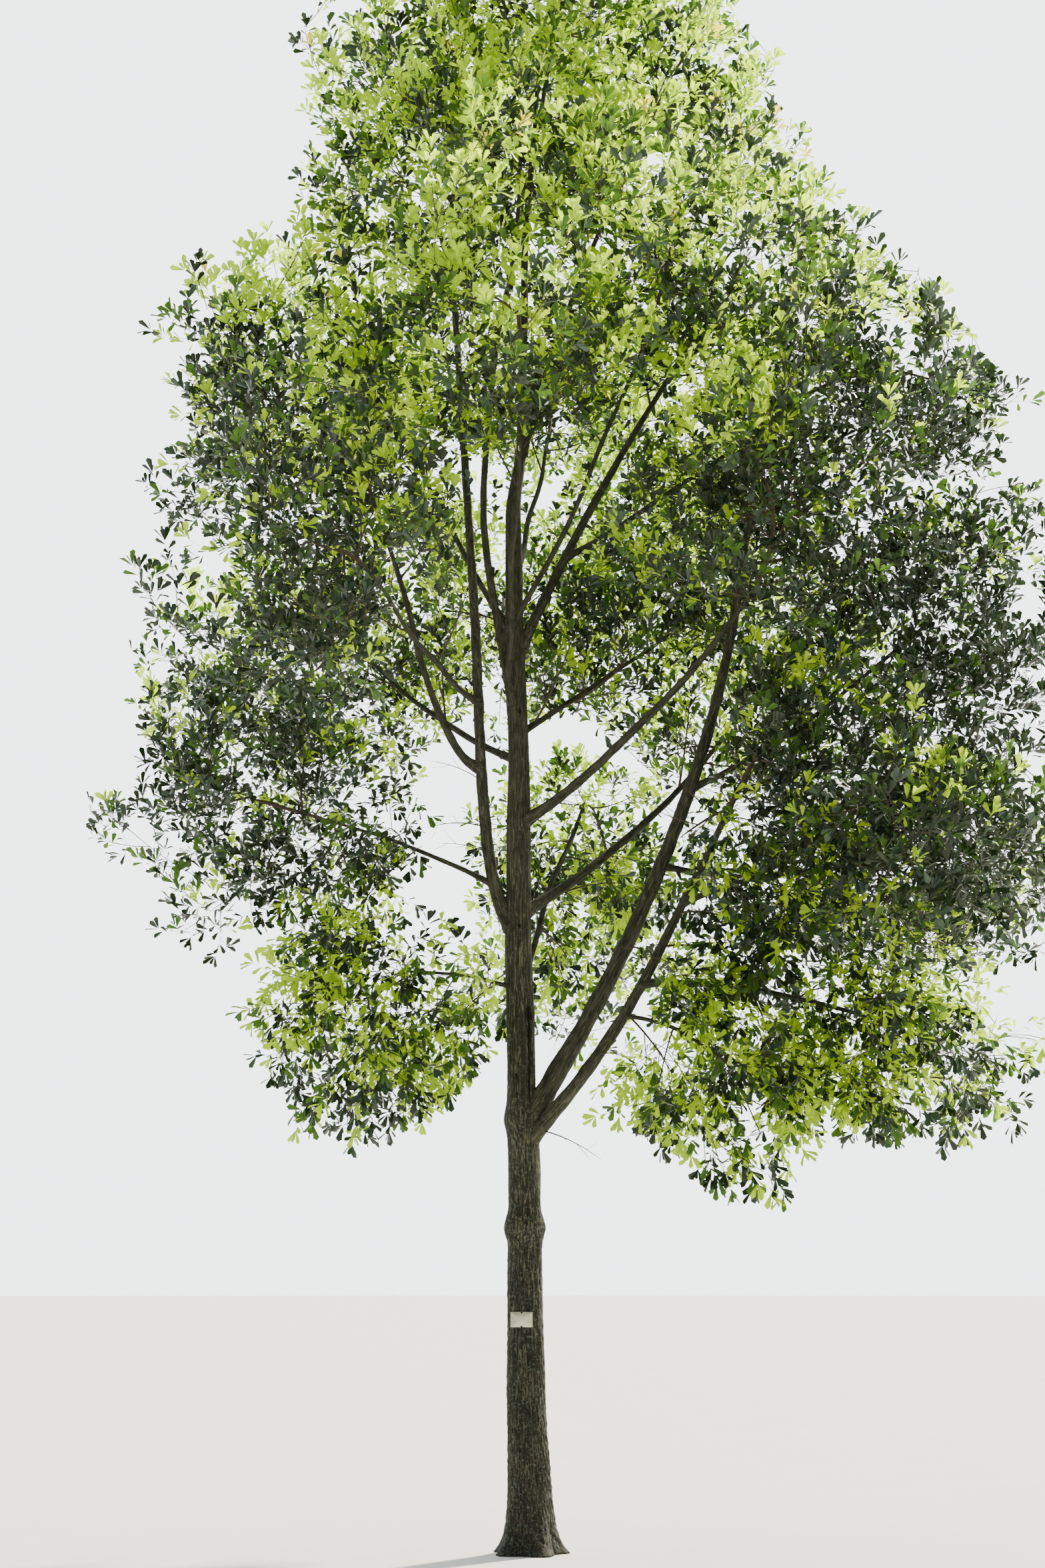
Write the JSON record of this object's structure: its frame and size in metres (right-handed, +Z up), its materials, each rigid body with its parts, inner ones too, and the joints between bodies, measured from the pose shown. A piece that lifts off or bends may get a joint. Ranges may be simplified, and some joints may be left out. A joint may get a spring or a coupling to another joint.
{
  "type": "water oak",
  "caption": "Young broad-crowned shade tree: a straight flared trunk, rising boughs and open masses of small rounded leaves, rooted at a flat ground cut.",
  "frame": {"origin": "the middle of the flat ground cut under the trunk", "axes": "+Z up along the trunk; +X towards the side where the crown reaches furthest; +Y towards the back of the tree"},
  "size_m": [6.6553, 6.4844, 12.5476],
  "materials": {
    "trunk_bark": "rough furrowed grey-brown bark with pale lichen",
    "bough_bark": "matt grey-brown bark, smoother towards the tips",
    "foliage": "thin yellow-green to deep green leaves with a soft sheen"
  },
  "bodies": {
    "root": {"trunk": "trunk_bark", "bough_right_leader": "bough_bark", "bough_right_low": "bough_bark", "bough_right_long": "bough_bark", "bough_right_hanging": "bough_bark", "bough_right_spread": "bough_bark", "bough_right_mid": "bough_bark", "bough_right_high": "bough_bark", "bough_right_back": "bough_bark", "bough_right_front": "bough_bark", "bough_back_low": "bough_bark", "bough_back_inner": "bough_bark", "bough_left_leader": "bough_bark", "bough_left_high": "bough_bark", "bough_left_low": "bough_bark", "bough_left_mid": "bough_bark", "bough_left_front": "bough_bark", "bough_left_back": "bough_bark", "bough_back_mid": "bough_bark", "bough_inner_leader": "bough_bark", "bough_front_crossing": "bough_bark", "bough_front_mid": "bough_bark", "bough_upper_right": "bough_bark", "bough_upper_side": "bough_bark", "bough_upper_back": "bough_bark", "bough_upper_left": "bough_bark", "bough_top_right": "bough_bark", "leaves_right_leader": "foliage", "leaves_right_low": "foliage", "leaves_right_long": "foliage", "leaves_right_hanging": "foliage", "leaves_right_spread": "foliage", "leaves_right_mid": "foliage", "leaves_right_high": "foliage", "leaves_right_back": "foliage", "leaves_right_front": "foliage", "leaves_back_low": "foliage", "leaves_back_inner": "foliage", "leaves_left_leader": "foliage", "leaves_left_high": "foliage", "leaves_left_low": "foliage", "leaves_left_mid": "foliage", "leaves_left_front": "foliage", "leaves_left_back": "foliage", "leaves_back_mid": "foliage", "leaves_inner_leader": "foliage", "leaves_front_crossing": "foliage", "leaves_front_mid": "foliage", "leaves_upper_right": "foliage", "leaves_upper_side": "foliage", "leaves_upper_back": "foliage", "leaves_upper_left": "foliage", "leaves_top_right": "foliage", "leaves_top_left": "foliage", "leaves_top_back": "foliage", "leaves_top_front": "foliage", "leaves_crown_tip": "foliage"}
  },
  "joints": []
}
